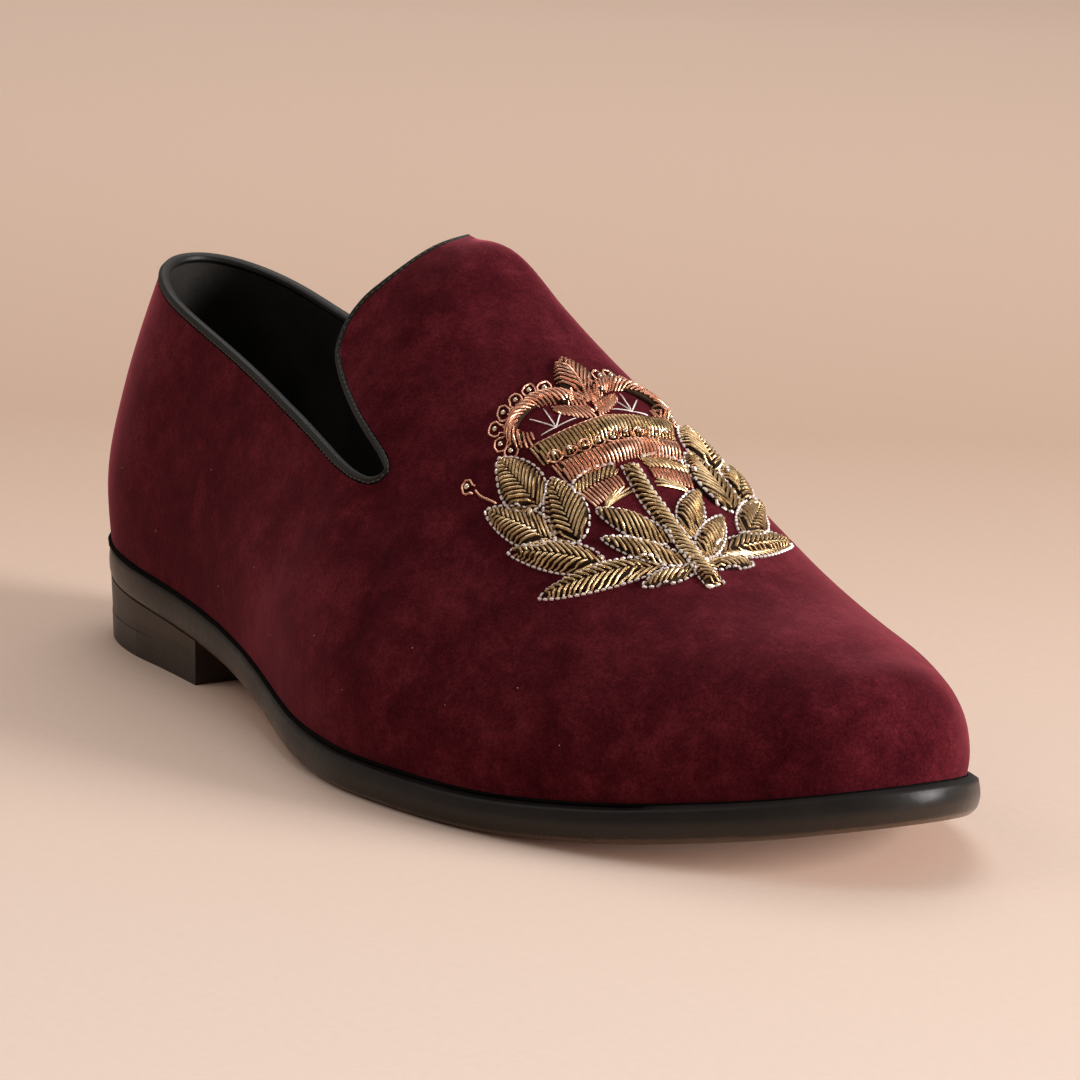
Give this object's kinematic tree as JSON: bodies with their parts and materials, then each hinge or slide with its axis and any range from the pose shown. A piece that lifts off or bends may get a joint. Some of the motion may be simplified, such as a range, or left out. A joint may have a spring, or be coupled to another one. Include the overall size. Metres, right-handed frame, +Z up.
{
  "type": "embroidered velvet loafer",
  "caption": "Slip-on velvet loafer for the right foot: hollow upper with a tongue-shaped vamp, bound top line, raised metal-thread embroidery, leather outsole and stacked heel.",
  "frame": {"origin": "middle of the shoe's box, on the floor it stands on", "axes": "+X to the toe, +Y to the inner side of the foot, +Z up"},
  "size_m": [0.3012, 0.109, 0.1112],
  "materials": {
    "velvet": "cut velvet with a soft brushed nap",
    "binding_leather": "smooth, semi-gloss",
    "sole_leather": "dyed and burnished edge over a tan bottom",
    "lining": "matt lining leather",
    "heel_leather": "dyed and burnished stack",
    "tan_leather": "undyed sole leather",
    "rubber": "matt heel rubber",
    "gold_thread": "antique gold coiled wire",
    "copper_thread": "rose gold coiled wire"
  },
  "bodies": {
    "root": {"copper_band": "copper_thread", "copper_leaf": "copper_thread", "copper_wreath_inner": "copper_thread", "copper_wreath_outer": "copper_thread", "gold_band": "gold_thread", "heel_stack": "heel_leather", "heel_tip_front": "tan_leather", "heel_tip_rear": "rubber", "insole": "lining", "leaf_1_inner": "gold_thread", "leaf_1_outer": "gold_thread", "leaf_2_inner": "gold_thread", "leaf_2_outer": "gold_thread", "leaf_3_inner": "gold_thread", "leaf_3_outer": "gold_thread", "leaf_4_inner": "gold_thread", "leaf_4_outer": "gold_thread", "leaf_5_inner": "gold_thread", "leaf_5_outer": "gold_thread", "leaf_6_inner": "gold_thread", "leaf_6_outer": "gold_thread", "leaf_7_inner": "gold_thread", "leaf_7_outer": "gold_thread", "leaf_8_inner": "gold_thread", "leaf_8_outer": "gold_thread", "outsole": "sole_leather", "stem": "gold_thread", "topline_binding": "binding_leather", "upper": "velvet"}
  },
  "joints": []
}
